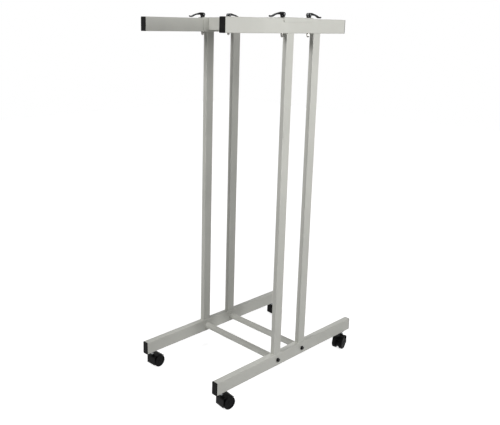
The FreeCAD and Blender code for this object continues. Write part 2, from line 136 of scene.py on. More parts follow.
def node(tree, kind, settings=None, links=None):
    """Add one shader node, set its attributes or inputs, and link its inputs."""
    made = tree.nodes.new(kind)
    for name, value in (settings or {}).items():
        if isinstance(name, str) and hasattr(made, name):
            setattr(made, name, value)
        else:
            made.inputs[name].default_value = value
    for name, source in (links or {}).items():
        tree.links.new(source, made.inputs[name])
    return made


def new_material(name, settings):
    """A material with one Principled shader, its settings, and its Object coordinates."""
    made = bpy.data.materials.new(name)
    made.use_nodes = True
    tree = made.node_tree
    tree.nodes.clear()
    shader = node(tree, "ShaderNodeBsdfPrincipled", settings)
    node(tree, "ShaderNodeOutputMaterial", links={"Surface": shader.outputs["BSDF"]})
    place = node(tree, "ShaderNodeTexCoord").outputs["Object"]
    return made, tree, shader, place


print("half grey on screen, 808080, is", round(colour("808080")[0], 3), "in linear light")

# %% [markdown]
# ## Uneven surfaces
# Powder, plastic and plating all vary a little from place to place, in shade and in gloss
# together. So one helper lets a noise mix two shades and move between two roughnesses. Where
# the gloss varies in its own way, as where hands have been, a second noise takes that part.

# %% A helper for uneven surfaces
def mottle(tree, shader, shades, roughness, blots, patches=None, stops=(0.0, 1.0)):
    """Let one noise mix two shades, and it or a second one move between two roughnesses."""
    shade = node(tree, "ShaderNodeValToRGB", links={"Fac": blots.outputs["Fac"]})
    for element, hex_value, stop in zip(shade.color_ramp.elements, shades, stops):
        element.position, element.color = stop, colour(hex_value)
    satin = node(
        tree,
        "ShaderNodeMapRange",
        {"To Min": roughness[0], "To Max": roughness[1]},
        {"Value": (patches or blots).outputs["Fac"]},
    )
    tree.links.new(shade.outputs["Color"], shader.inputs["Base Color"])
    tree.links.new(satin.outputs["Result"], shader.inputs["Roughness"])


print("a mottle takes two shades, two roughnesses and a noise")

# %% [markdown]
# ## Powder-coated steel
# Tubes and plates are mild steel, sprayed with dry polyester powder and baked. The powder melts
# into one even satin skin, but not a perfect one: it keeps the fine ripple that painters call
# orange peel. The ripple only bends the reflections, so it belongs in the bump. The colour
# drifts slowly over about a hand's length, and handling leaves patches that shine a little
# more or less, which keeps the long tubes from looking like plain plastic.

# %% Satin powder coat
PEEL_SIZE = 1.8 * MM
PEEL_DEPTH = 0.03 * MM
DRIFT_SIZE = 140 * MM
HANDLING_SIZE = 45 * MM
COAT_SHADES = ("cbcbc4", "d1d1ca")
COAT_STOPS = (0.35, 0.65)
COAT_ROUGHNESS = (0.42, 0.54)


def powder_coat():
    """Light warm grey polyester powder, baked to a satin skin with a little orange peel."""
    made, tree, shader, place = new_material("satin_powder_coat", {"IOR": 1.5})
    drift = node(
        tree, "ShaderNodeTexNoise", {"Scale": 1 / DRIFT_SIZE, "Detail": 2.0}, {"Vector": place}
    )
    touch = node(
        tree, "ShaderNodeTexNoise", {"Scale": 1 / HANDLING_SIZE, "Detail": 3.0}, {"Vector": place}
    )
    mottle(tree, shader, COAT_SHADES, COAT_ROUGHNESS, drift, touch, COAT_STOPS)
    peel = node(
        tree, "ShaderNodeTexNoise", {"Scale": 1 / PEEL_SIZE, "Detail": 1.0}, {"Vector": place}
    )
    ripple = node(
        tree,
        "ShaderNodeBump",
        {"Strength": 0.35, "Distance": PEEL_DEPTH},
        {"Height": peel.outputs["Fac"]},
    )
    tree.links.new(ripple.outputs["Normal"], shader.inputs["Normal"])
    return made


finishes = {"frame_paint": powder_coat()}
print("powder coat between", *COAT_SHADES)

# %% [markdown]
# ## Black mouldings
# End caps are soft polyethylene, castors a harder nylon. Both come out of a steel mould that
# was spark-eroded, so they carry its fine grain. The grain is about a third of a millimetre,
# too fine to see at this distance, so here it is drawn twice as coarse. Plastic is never a pure
# black: the caps are charcoal, the castor housings are darker, and the wheels, dulled by the
# floor's dust, lie between. Handling leaves soft smears in colour and gloss, and as the grain
# scatters most of what the skin would mirror, the specular level is low.

# %% Polyethylene and nylon
GRAIN_SIZE = 0.7 * MM
GRAIN_DEPTH = 0.05 * MM
SMEAR_SIZE = 18 * MM
SMEAR_STOPS = (0.4, 0.7)
PLASTIC = {"IOR": 1.52, "Specular IOR Level": 0.06}


def moulded_plastic(name, shades, roughness):
    """A black moulding with spark-eroded grain, between two blacks and two roughnesses."""
    made, tree, shader, place = new_material(name, PLASTIC)
    smear = node(
        tree, "ShaderNodeTexNoise", {"Scale": 1 / SMEAR_SIZE, "Detail": 4.0}, {"Vector": place}
    )
    mottle(tree, shader, shades, roughness, smear, stops=SMEAR_STOPS)
    grain = node(
        tree, "ShaderNodeTexNoise", {"Scale": 1 / GRAIN_SIZE, "Detail": 2.0}, {"Vector": place}
    )
    pitted = node(
        tree,
        "ShaderNodeBump",
        {"Strength": 0.5, "Distance": GRAIN_DEPTH},
        {"Height": grain.outputs["Fac"]},
    )
    tree.links.new(pitted.outputs["Normal"], shader.inputs["Normal"])
    return made


# Each moulding: its material's name, its two blacks and its two roughnesses.
MOULDINGS = {
    "cap_plastic": ("charcoal_polyethylene", ("131313", "1d1d1d"), (0.42, 0.6)),
    "castor_plastic": ("black_nylon_hood", ("0a0a0b", "131314"), (0.35, 0.5)),
    "wheel_plastic": ("black_nylon_wheel", ("0d0d0e", "19191a"), (0.4, 0.6)),
}
for slot_name, recipe in MOULDINGS.items():
    finishes[slot_name] = moulded_plastic(*recipe)
print("mouldings:", sorted(MOULDINGS))

# %% [markdown]
# ## Painted castings and blacked bolts
# The cam levers are zinc castings under a half-gloss black enamel that pools softly. Bolts are
# blacked in a hot salt bath, which leaves bare steel showing faintly through. Neither is a
# metal to the eye: the light meets a black skin first, and only a little gloss comes back.

# %% Enamel and black oxide
POOL_SIZE = 6 * MM
POOL_DEPTH = 0.08 * MM
OXIDE_SIZE = 2.5 * MM


def enamel():
    """Half-gloss black enamel over a die casting."""
    settings = {"IOR": 1.5, "Specular IOR Level": 0.12}
    made, tree, shader, place = new_material("black_enamel_on_casting", settings)
    pool = node(
        tree, "ShaderNodeTexNoise", {"Scale": 1 / POOL_SIZE, "Detail": 3.0}, {"Vector": place}
    )
    mottle(tree, shader, ("080809", "131315"), (0.24, 0.42), pool)
    skin = node(
        tree,
        "ShaderNodeBump",
        {"Strength": 0.3, "Distance": POOL_DEPTH},
        {"Height": pool.outputs["Fac"]},
    )
    tree.links.new(skin.outputs["Normal"], shader.inputs["Normal"])
    return made


def black_oxide():
    """Steel blacked in a salt bath, slightly mottled."""
    made, tree, shader, place = new_material("black_oxide_steel", {"Specular IOR Level": 0.08})
    bath = node(
        tree, "ShaderNodeTexNoise", {"Scale": 1 / OXIDE_SIZE, "Detail": 5.0}, {"Vector": place}
    )
    mottle(tree, shader, ("080809", "1a1a1b"), (0.3, 0.5), bath)
    return made


finishes["lever_black"] = enamel()
finishes["black_steel"] = black_oxide()
print("black metals:", finishes["lever_black"].name, "and", finishes["black_steel"].name)

# %% [markdown]
# ## Plated metal
# Skewers and pins are turned from bar and zinc plated, so they keep the rings of the lathe,
# while the dome nuts are nickel plated and polished almost smooth. Real rings are a tenth of a
# millimetre apart, too fine to show, so here they are drawn about ten times as coarse: a wave
# texture fits about three rings into each unit of its scale. A metal's colour is the colour of
# its reflections, so it has no other colour underneath.

# %% Zinc plate and nickel
RING_GROUP = 3 * MM
STAIN_SIZE = 3 * MM


def plated_metal(name, shades, roughness, ring_depth):
    """A plated metal that was turned on a lathe, with rings across its length."""
    made, tree, shader, place = new_material(name, {"Metallic": 1.0})
    stain = node(
        tree, "ShaderNodeTexNoise", {"Scale": 1 / STAIN_SIZE, "Detail": 3.0}, {"Vector": place}
    )
    mottle(tree, shader, shades, roughness, stain)
    rings = node(
        tree,
        "ShaderNodeTexWave",
        {"bands_direction": "Z", "Scale": 1 / RING_GROUP, "Distortion": 0.5},
        {"Vector": place},
    )
    turned = node(
        tree,
        "ShaderNodeBump",
        {"Strength": 0.3, "Distance": ring_depth},
        {"Height": rings.outputs["Fac"]},
    )
    tree.links.new(turned.outputs["Normal"], shader.inputs["Normal"])
    return made


# Each plating: its material's name, two colours, two roughnesses and the depth of its rings.
PLATINGS = {
    "zinc_steel": ("bright_zinc_plate", ("808284", "a2a4a5"), (0.28, 0.42), 0.01 * MM),
    "bright_nut": ("polished_nickel_plate", ("6f6d6a", "9a9894"), (0.12, 0.24), 0.004 * MM),
}
for slot_name, recipe in PLATINGS.items():
    finishes[slot_name] = plated_metal(*recipe)
print("platings:", sorted(PLATINGS))

# %% [markdown]
# ## Finishes on the frame
# Every ready-made node arrives with a named slot for its material. Looking the name up in the
# list of finishes dresses the whole frame at once, the hidden pins and plugs as well.

# %% Dress the ready-made nodes
slot_of = {part["node"]: part["material_slot"] for part in frame["record"]["subparts"]}
for name, part in nodes.items():
    for material_slot in part.material_slots:
        material_slot.material = finishes[slot_of[name]]
print(len(finishes), "finishes on", len(nodes), "nodes")

# %% [markdown]
# ## The modelling bench
# Each piece is modelled once at the bench, near the origin, and copies of it are then carried
# to their places on the rack. Blender's operators act on whatever is selected, as they do by
# hand. The first helpers hold the pieces to work on, add a cylinder or a cube at its size and
# place, and pick faces or edges by where they are.

# %% Helpers that start a piece
# Vertices closer than MERGE count as one. A face or an edge looks or runs one way where the
# share of its direction that lies that way is over NEARLY. ACROSS turns an axis from Z to X.
MERGE = 0.005 * MM
NEARLY = 0.99
ACROSS = (0, math.pi / 2, 0)


def hold(*pieces):
    """Leave edit mode and select only these pieces; the last one is active."""
    if bpy.context.object and bpy.context.object.mode == "EDIT":
        bpy.ops.object.mode_set(mode="OBJECT")
    bpy.ops.object.select_all(action="DESELECT")
    for piece in pieces:
        piece.select_set(True)
        bpy.context.view_layer.objects.active = piece


def settle(name):
    """Name a fresh primitive and put its place and turn into its mesh."""
    piece = bpy.context.object
    piece.name = name
    hold(piece)
    bpy.ops.object.transform_apply()
    return piece


def cylinder(name, radius, length, place=(0, 0, 0), turn=(0, 0, 0), sides=48):
    """A cylinder along Z, or along X when it is turned ACROSS."""
    hold()
    bpy.ops.mesh.primitive_cylinder_add(
        vertices=sides, radius=radius, depth=length, location=place, rotation=turn
    )
    return settle(name)


def block(name, size, place):
    """A cube stretched to a size."""
    hold()
    bpy.ops.mesh.primitive_cube_add(size=1, location=place, scale=size)
    return settle(name)


def pick(piece, kind, test):
    """Open a piece in edit mode with only what passes the test selected.

    The test is given the middle of each face and its normal, or of each edge and its direction.
    """
    hold(piece)
    bpy.ops.object.mode_set(mode="EDIT")
    bpy.ops.mesh.select_mode(type=kind)
    bpy.ops.mesh.select_all(action="DESELECT")
    bpy.ops.object.mode_set(mode="OBJECT")
    mesh = piece.data
    if kind == "FACE":
        for face in mesh.polygons:
            face.select = test(face.center, face.normal)
    else:
        for edge in mesh.edges:
            start, stop = (mesh.vertices[index].co for index in edge.vertices)
            edge.select = test((start + stop) / 2, (stop - start).normalized())
    bpy.ops.object.mode_set(mode="EDIT")


def extrude(x, y, z):
    """Extrude what is selected by a step."""
    bpy.ops.mesh.extrude_region_move(TRANSFORM_OT_translate={"value": (x, y, z)})


print("vertices closer than", round(MERGE / MM, 3), "mm are merged")

# %% [markdown]
# A modifier is applied as soon as it is added, so that the next operator meets plain mesh. The
# last helper of this cell tidies a finished mesh: it merges doubled vertices, turns all faces
# outwards, and shades smooth all but the edges that are sharper than an angle.

# %% Helpers that finish a piece
# How far one pass of smoothing moves a vertex towards the middle of its neighbours.
SMOOTHING = 0.5


def shape(piece, kind, **settings):
    """Add a modifier to a piece and apply it."""
    hold(piece)
    modifier = piece.modifiers.new(kind.lower(), kind)
    for name, value in settings.items():
        setattr(modifier, name, value)
    bpy.ops.object.modifier_apply(modifier=modifier.name)


def carve(piece, tool, operation="DIFFERENCE"):
    """Cut a piece with a tool, add the tool or keep what they share, and put the tool away."""
    shape(piece, "BOOLEAN", object=tool, operation=operation)
    bpy.data.objects.remove(tool)


def join(*pieces):
    """Join pieces into the last one."""
    hold(*pieces)
    bpy.ops.object.join()
    return bpy.context.object


def tidy(piece, angle):
    """Merge doubles, turn the faces outwards, and smooth all but the sharper edges."""
    pick(piece, "FACE", lambda middle, normal: True)
    bpy.ops.mesh.remove_doubles(threshold=MERGE)
    bpy.ops.mesh.normals_make_consistent(inside=False)
    hold(piece)
    bpy.ops.object.shade_smooth_by_angle(angle=math.radians(angle))
    print(piece.name, len(piece.data.polygons), "faces")


print("one pass of smoothing moves a vertex", SMOOTHING, "of the way")

# %% [markdown]
# ## From the bench to the rack
# The rack repeats itself at four corners, so one name for each corner finds its nodes and its
# joints. A copy is carried there, gets its finish, rides on the body that it moves with, and
# stands for the plainer node that it replaces.

# %% Helpers that place a piece
ENDS = [side + "_" + end for side in ("left", "right") for end in ("front", "rear")]
HALF_TURN = Matrix.Rotation(math.pi, 4, "Z")


def carry(pattern, name, place):
    """A copy of a bench model, carried to its place on the rack."""
    hold(pattern)
    bpy.ops.object.duplicate()
    piece = bpy.context.object
    piece.name = name
    piece.matrix_world = place
    bpy.ops.object.transform_apply()
    return piece


def fit(piece, body, finish, *replaced):
    """Give a piece its finish, let it ride on its body and stand for its CAD nodes."""
    piece.data.materials.clear()
    piece.data.materials.append(finishes[finish])
    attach(piece, body)
    if replaced:
        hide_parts(*replaced)


def middle_of(name):
    """The middle of a CAD node's box."""
    low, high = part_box(name)
    return (low + high) / 2


print("corners:", ENDS)

# %% [markdown]
# ## End caps
# A cap is a soft plastic plug with a thin flange, knocked into the open end of a tube. The
# flange is as large as the tube, its face carries a shallow panel inside a rounded border, and
# the hollow plug behind it grips the tube's walls. A cube makes all of this: bevel the corners,
# inset the panel, and extrude the plug from the back.

# %% Model and place the end caps
CAP_FLANGE = 3 * MM
CAP_CORNER = 3 * MM
CAP_EDGE = 0.8 * MM
CAP_BORDER = 1.6 * MM
CAP_STEP = 0.45 * MM
TUBE_WALL = 2.1 * MM
CAP_PLUG_WALL = 1.8 * MM

cap_low, cap_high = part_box("foot_cap_right_front")
cap_width, cap_depth, cap_height = cap_high - cap_low
plug_depth = cap_depth - CAP_FLANGE
cap = block("end_cap", (cap_width, CAP_FLANGE, cap_height), (0, CAP_FLANGE / 2, 0))
pick(cap, "EDGE", lambda middle, along: abs(along.y) > NEARLY)
bpy.ops.mesh.bevel(offset=CAP_CORNER, segments=5)
pick(cap, "EDGE", lambda middle, along: middle.y < MERGE)
bpy.ops.mesh.bevel(offset=CAP_EDGE, segments=3)
pick(cap, "FACE", lambda middle, normal: normal.y < -NEARLY)
bpy.ops.mesh.inset(thickness=CAP_BORDER)
bpy.ops.mesh.inset(thickness=CAP_STEP, depth=-CAP_STEP)
pick(cap, "FACE", lambda middle, normal: normal.y > NEARLY)
bpy.ops.mesh.inset(thickness=TUBE_WALL)
extrude(0, plug_depth, 0)
bpy.ops.mesh.inset(thickness=CAP_PLUG_WALL)
extrude(0, -plug_depth, 0)
tidy(cap, 35)

for end in ENDS:
    for tube in ("foot", "rail"):
        node_name = tube + "_cap_" + end
        low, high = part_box(node_name)
        middle = middle_of(node_name)
        faces_rear = end.endswith("rear")
        place = Matrix.Translation((middle.x, high.y if faces_rear else low.y, middle.z))
        piece = carry(cap, "end_" + node_name, place @ HALF_TURN if faces_rear else place)
        fit(piece, "frame", "cap_plastic", node_name)
bpy.data.objects.remove(cap)

# %% [markdown]
# ## Hexagons
# Bolt heads and nuts are hexagons whose corners are turned off in a lathe, which leaves the
# curved chamfers that catch the light. Cutting one with a flat bevel looks wrong. Keeping only
# what a hexagon and a wide, shallow cone share gives the same curves as the lathe does.

# %% Helpers for turned hexagons
# The round face that is left inside the chamfer is a little narrower than the flats.
CHAMFER_ANGLE = math.radians(30)
FACE_SHARE = 0.97


def hexagon(name, flats, low, high):
    """A hexagonal prism on the Z axis, between two levels."""
    corners = flats / math.sqrt(3)
    turn = (0, 0, math.pi / 6)
    return cylinder(name, corners, high - low, (0, 0, (low + high) / 2), turn, sides=6)


def turn_corners(piece, level, flats, height, upward):
    """Turn off a hexagon's corners where its face stands at a level, facing up or down."""
    rim = flats / 2 * FACE_SHARE
    spread = rim + height / math.tan(CHAMFER_ANGLE)
    way = 1 if upward else -1
    hold()
    bpy.ops.mesh.primitive_cone_add(
        vertices=64,
        radius1=spread,
        radius2=rim,
        depth=height,
        location=(0, 0, level - way * height / 2),
        rotation=(0 if upward else math.pi, 0, 0),
    )
    carve(piece, settle("chamfer_tool"), "INTERSECT")


print("chamfer angle", round(math.degrees(CHAMFER_ANGLE)), "degrees")

# %% [markdown]
# ## The bolts of the base bars
# Each foot is pulled against its round bars by a blacked hexagon bolt. The head has the turned
# chamfer on its outer side and a shallow dish in its face, left by the forging punch. The shank
# runs through the foot into the bar, where nobody sees it, so a plain bevelled rod will do.

# %% Model and place the bolts
BOLT_FLATS = 13 * MM
BOLT_HEAD = 5.3 * MM
BOLT_DISH = 0.4 * MM
PUNCH_RADIUS = 20 * MM
BOLT_SHANK = 8 * MM
BOLT_REACH = 44.6 * MM
BOLT_TIP = 0.8 * MM

bolt = hexagon("bar_bolt", BOLT_FLATS, 0, BOLT_HEAD)
turn_corners(bolt, BOLT_HEAD, BOLT_FLATS, BOLT_HEAD, upward=True)
hold()
bpy.ops.mesh.primitive_uv_sphere_add(
    segments=96,
    ring_count=64,
    radius=PUNCH_RADIUS,
    location=(0, 0, BOLT_HEAD + PUNCH_RADIUS - BOLT_DISH),
)
carve(bolt, settle("punch_tool"))
shank = cylinder("bolt_shank", BOLT_SHANK / 2, BOLT_REACH, (0, 0, -BOLT_REACH / 2), sides=24)
pick(shank, "EDGE", lambda middle, along: middle.z < MERGE - BOLT_REACH)
bpy.ops.mesh.bevel(offset=BOLT_TIP, segments=1)
bolt = join(shank, bolt)
tidy(bolt, 30)

washer_low, washer_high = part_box("bar_washers")
bolts = []
for side, way, seat in (("left", -1, washer_low.x), ("right", 1, washer_high.x)):
    outward = Matrix.Rotation(way * math.pi / 2, 4, "Y")
    for end in ("front", "rear"):
        bar = middle_of("base_bar_" + end)
        place = Matrix.Translation((seat, bar.y, bar.z)) @ outward
        bolts.append(carry(bolt, "bolt_" + side + "_" + end, place))
blacked = join(*bolts)
blacked.name = "blacked_bar_bolts"
fit(blacked, "frame", "black_steel", "bar_bolts")
bpy.data.objects.remove(bolt)

# %% [markdown]
# ## Dome nuts
# Under each rail a polished dome nut closes the skewer. It is one turned piece: a hexagon for
# the spanner, then a ball end that hides the thread, so nothing scratches the sheets below. A
# cylinder whose lower rim is bevelled almost to its middle makes the ball end.

# %% Model and place the dome nuts
NUT_FLATS = 10 * MM
NUT_HEX = 5.5 * MM
NUT_HEIGHT = 12 * MM
NUT_DOME = 9.4 * MM
DOME_START = 3 * MM
DOME_TIP = 0.1 * MM

nut = hexagon("dome_nut", NUT_FLATS, -NUT_HEX, 0)
turn_corners(nut, 0, NUT_FLATS, NUT_HEX, upward=True)
turn_corners(nut, -NUT_HEX, NUT_FLATS, NUT_HEX, upward=False)
dome_middle = (0, 0, -(NUT_HEIGHT + DOME_START) / 2)
dome = cylinder("dome", NUT_DOME / 2, NUT_HEIGHT - DOME_START, dome_middle)
pick(dome, "EDGE", lambda middle, along: middle.z < MERGE - NUT_HEIGHT)
bpy.ops.mesh.bevel(offset=NUT_DOME / 2 - DOME_TIP, segments=10)
carve(nut, dome, "UNION")
tidy(nut, 30)

nut_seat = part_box("nut_washers")[0].z
nuts = []
for end in ENDS:
    skewer = middle_of("skewer_" + end)
    place = Matrix.Translation((skewer.x, skewer.y, nut_seat))
    nuts.append(carry(nut, "nut_" + end, place))
polished = join(*nuts)
polished.name = "polished_dome_nuts"
fit(polished, "frame", "bright_nut", "dome_nuts")
bpy.data.objects.remove(nut)

# %% [markdown]
# ## Cam levers
# A cam lever is die cast in one piece: a barrel whose middle lies a millimetre below its pin, so
# that turning it pulls the skewer tight, and a handle that dips in a slow S and widens to a
# thumb rest. The handle is extruded section by section along its middle line, each section
# with its own height, width and thickness. A voxel remesh then melts it into the barrel, as in
# a casting, and the slot and the pin's hole are machined last, so their edges stay crisp.

# %% Measure the cam lever
CAM_RADIUS = 7 * MM
CAM_WIDTH = 15 * MM
CAM_THROW = 1 * MM
CAM_REACH = 8.3 * MM
EYE_SPACE = 5.9 * MM
SLOT_HALF = 3.4 * MM
PIN_BORE = 5.1 * MM
BARREL_EDGE = 0.7 * MM
HANDLE_EDGE = 1.5 * MM
HANDLE_ROOT = 3 * MM
THUMB_START = 56 * MM
THUMB_STOP = 65 * MM
THUMB_BORDER = 1.3 * MM
THUMB_DISH = 0.6 * MM
CAST_VOXEL = 0.5 * MM
# Each section of the handle: out from the pin, up, thickness and half width, in millimetres.
SECTIONS = (
    (0.0, 3.0, 6.2, 6.8),
    (5.0, 3.6, 6.5, 6.4),
    (10.0, 3.2, 7.1, 6.0),
    (16.0, 2.0, 7.5, 5.6),
    (22.0, 0.9, 6.8, 5.2),
    (28.0, 0.2, 5.6, 4.9),
    (34.0, -0.7, 4.7, 4.9),
    (40.0, -2.4, 4.3, 5.3),
    (46.0, -4.8, 4.2, 5.9),
    (51.0, -7.1, 4.1, 6.4),
    (55.0, -8.6, 4.0, 6.6),
    (58.5, -9.3, 4.0, 6.6),
    (61.5, -9.1, 4.0, 6.4),
    (64.5, -8.2, 3.9, 5.6),
    (66.5, -7.2, 3.7, 3.9),
    (67.4, -6.7, 3.0, 2.0),
)
print("the handle has", len(SECTIONS), "sections and reaches", SECTIONS[-1][0], "mm")

# %% Model the cam lever
barrel = cylinder("cam_barrel", CAM_RADIUS, CAM_WIDTH, (0, 0, -CAM_THROW), ACROSS, sides=64)
pick(barrel, "EDGE", lambda middle, along: abs(middle.x) > CAM_WIDTH / 2 - MERGE)
bpy.ops.mesh.bevel(offset=BARREL_EDGE, segments=3)

out, up, thick, half = (value * MM for value in SECTIONS[0])
lever = block("cam_lever", (2 * half, HANDLE_ROOT, thick), (0, out - HANDLE_ROOT / 2, up))
pick(lever, "FACE", lambda middle, normal: normal.y > NEARLY)
for row in SECTIONS[1:]:
    next_out, next_up, next_thick, next_half = (value * MM for value in row)
    extrude(0, next_out - out, next_up - up)
    bpy.ops.transform.resize(
        value=(next_half / half, 1, next_thick / thick), center_override=(0, next_out, next_up)
    )
    out, up, thick, half = next_out, next_up, next_thick, next_half


def on_thumb_rest(middle, normal):
    """True where a face of the handle looks up and lies where the thumb rests."""
    return normal.z > 0.8 and THUMB_START < middle.y < THUMB_STOP


# The edges that run along the handle are rounded, and then the thumb rest is dished.
pick(lever, "EDGE", lambda middle, along: abs(along.y) > 0.3)
bpy.ops.mesh.bevel(offset=HANDLE_EDGE, segments=4)
pick(lever, "FACE", on_thumb_rest)
bpy.ops.mesh.inset(thickness=THUMB_BORDER)
bpy.ops.transform.translate(value=(0, 0, -THUMB_DISH))
lever = join(barrel, lever)
shape(lever, "REMESH", mode="VOXEL", voxel_size=CAST_VOXEL)
shape(lever, "SMOOTH", factor=SMOOTHING, iterations=4)
print("cast lever", [round(value / MM, 1) for value in lever.dimensions], "mm")

# %% Machine the slot and the pin's hole
front = CAM_REACH + EYE_SPACE
for reach, height in ((front, front), (CAM_REACH, 2 * CAM_REACH)):
    cut_middle = (0, reach / 2 - CAM_REACH, height / 2 - CAM_REACH)
    carve(lever, block("slot_tool", (2 * SLOT_HALF, reach, height), cut_middle))
carve(lever, cylinder("bore_tool", PIN_BORE / 2, 2 * CAM_WIDTH, turn=ACROSS))
tidy(lever, 40)

for end in ENDS:
    place = Matrix.Translation(joints["lever_" + end]["pos_m"])
    place = place if end.endswith("rear") else place @ HALF_TURN
    piece = carry(lever, "cast_lever_" + end, place)
    fit(piece, "lever_" + end, "lever_black", "cam_lever_" + end)
bpy.data.objects.remove(lever)

# %% [markdown]
# ## Castor housings
# The housing is one nylon moulding: a web between the wheels that holds the axle, a hood that
# keeps hair and dust off them, and a neck for the stem. The hood is drawn as a moulder would
# sweep it, from one face of a thin sliver: spin it over the wheels, extrude it level, spin it
# round the corner over the stem and extrude it down to the front edge. The remesh then rounds
# every inside corner a little, which is how a moulding differs from machined parts.

# %% Model the castor housing
AXLE_LEVEL = 25 * MM
TRAIL = 22 * MM
HOOD_RADIUS = 27.8 * MM
HOOD_WIDTH = 45 * MM
HOOD_THICK = 2 * MM
HOOD_SLIVER = 0.2 * MM
HOOD_START = math.radians(42)
HOOD_REACH = 30 * MM
HOOD_CORNER = 9 * MM
HOOD_FRONT_EDGE = 15 * MM
HOOD_LIP = 0.9 * MM
HOOD_SHARP = math.radians(50)

axle = Vector((0, TRAIL, AXLE_LEVEL))
crown = AXLE_LEVEL + HOOD_RADIUS
hood_front = TRAIL - HOOD_REACH
corner = Vector((0, hood_front + HOOD_CORNER, crown - HOOD_CORNER))
sliver = (HOOD_WIDTH, HOOD_THICK, HOOD_SLIVER)
hood = block("hood", sliver, (0, HOOD_RADIUS - HOOD_THICK / 2, 0))
hood.rotation_euler.x = HOOD_START
hood.location = axle
bpy.ops.object.transform_apply()
sweep_way = Vector((0, -math.sin(HOOD_START), math.cos(HOOD_START)))
pick(hood, "FACE", lambda middle, normal: normal.dot(sweep_way) > NEARLY)
bpy.ops.mesh.spin(steps=14, angle=HOOD_START - math.pi / 2, center=axle, axis=(1, 0, 0))
extrude(0, corner.y - TRAIL, 0)
bpy.ops.mesh.spin(steps=10, angle=-math.pi / 2, center=corner, axis=(1, 0, 0))
extrude(0, 0, HOOD_FRONT_EDGE - corner.z)
tidy(hood, 40)
shape(hood, "BEVEL", width=HOOD_LIP, segments=3, limit_method="ANGLE", angle_limit=HOOD_SHARP)
print("hood", [round(value / MM, 1) for value in hood.dimensions], "mm")

# %% [markdown]
# The web stands between the wheels as a disc round the axle, and carries on up into the hood as
# a solid spine. Two bisecting planes through the axle cut a wedge, the round part of the spine,
# and a block with one bevelled edge fills the corner under the stem. Its lower front edge is
# then pulled down to the level of the hood's front edge.

# %% Add the web, the spine and the neck
WEB_WIDTH = 12 * MM
WEB_RADIUS = 19 * MM
NECK_RADIUS = 7.5 * MM
NECK_FOOT = 44 * MM
NECK_TOP = 57 * MM
NECK_EDGE = 1 * MM
INSIDE = 0.5 * MM

web = cylinder("web", WEB_RADIUS, WEB_WIDTH, axle, ACROSS, sides=72)
wedge = cylinder("wedge", HOOD_RADIUS - INSIDE, WEB_WIDTH, axle, ACROSS, sides=72)
for angle in (HOOD_START, math.atan2(AXLE_LEVEL - HOOD_FRONT_EDGE, HOOD_REACH)):
    pick(wedge, "FACE", lambda middle, normal: True)
    plane_way = (0, -math.sin(angle), math.cos(angle))
    bpy.ops.mesh.bisect(plane_co=axle, plane_no=plane_way, use_fill=True, clear_inner=True)

spine_front = hood_front + INSIDE
spine_top = crown - INSIDE
spine_size = (WEB_WIDTH, TRAIL - spine_front, spine_top - AXLE_LEVEL)
spine = block("spine", spine_size, (0, (spine_front + TRAIL) / 2, (AXLE_LEVEL + spine_top) / 2))


def at_front(middle):
    """True where an edge lies in the spine's front face."""
    return middle.y < spine_front + MERGE


pick(spine, "EDGE", lambda middle, along: at_front(middle) and middle.z > spine_top - MERGE)
bpy.ops.mesh.bevel(offset=HOOD_CORNER - INSIDE, segments=8)
pick(spine, "EDGE", lambda middle, along: at_front(middle) and middle.z < AXLE_LEVEL + MERGE)
bpy.ops.transform.translate(value=(0, 0, HOOD_FRONT_EDGE + INSIDE - AXLE_LEVEL))

neck_middle = (0, 0, (NECK_TOP + NECK_FOOT) / 2)
neck = cylinder("neck", NECK_RADIUS, NECK_TOP - NECK_FOOT, neck_middle)
pick(neck, "EDGE", lambda middle, along: middle.z > NECK_TOP - MERGE)
bpy.ops.mesh.bevel(offset=NECK_EDGE, segments=3)
housing = join(web, wedge, spine, neck, hood)
print("five shells make the housing,", len(housing.data.polygons), "faces")

# %% [markdown]
# ## One moulding
# Joined shells still cross each other. A voxel remesh keeps only their common outside, and a
# little smoothing rounds the inside corners as a mould does. The bores for the stem and the
# axle come last, as crisp as the core pins that form them.

# %% Mould the housing, bore it and place the castors
MOULD_VOXEL = 0.6 * MM
STEM_BORE = 11.1 * MM
STEM_ROOT = 10 * MM
AXLE_BORE = 8.1 * MM

shape(housing, "REMESH", mode="VOXEL", voxel_size=MOULD_VOXEL)
shape(housing, "SMOOTH", factor=SMOOTHING, iterations=5)
carve(housing, cylinder("stem_tool", STEM_BORE / 2, 2 * STEM_ROOT, (0, 0, NECK_TOP)))
carve(housing, cylinder("axle_tool", AXLE_BORE / 2, 2 * WEB_WIDTH, axle, ACROSS))
tidy(housing, 40)

castor_turns = {}
for end in ENDS:
    roll = joints["roll_outer_" + end]["axis"]
    castor_turns[end] = Matrix.Rotation(math.atan2(roll[1], roll[0]), 4, "Z")
    stem = middle_of("castor_stem_" + end)
    place = Matrix.Translation((stem.x, stem.y, 0)) @ castor_turns[end]
    piece = carry(housing, "moulded_housing_" + end, place)
    fit(piece, "castor_" + end, "castor_plastic", "castor_housing_" + end)
bpy.data.objects.remove(housing)

# %% [markdown]
# ## Wheels
# Each wheel is a nylon disc with a rounded tread, dished on the outside round a plain hub cap
# and hollow on the inside to save plastic. One cylinder becomes all of it: the two rims are
# bevelled, then each flat side is inset and pushed in or out, step by step towards the axle.

# %% Model and place the wheels
WHEEL_RADIUS = 25 * MM
WHEEL_WIDTH = 16 * MM
WHEEL_INNER_FACE = 6.5 * MM
TREAD_EDGE = 3 * MM
RIM = 3.5 * MM
DISH_RADIUS = 18 * MM
DISH_DEPTH = 1.2 * MM
DRAFT = 0.4 * MM
HUB_RADIUS = 7.5 * MM
WHEEL_HOLLOW = 11.8 * MM
WHEEL_BORE_RADIUS = 4.05 * MM
WHEEL_BORE_DEPTH = 12.8 * MM
HUB_BORDER = HUB_RADIUS / 4

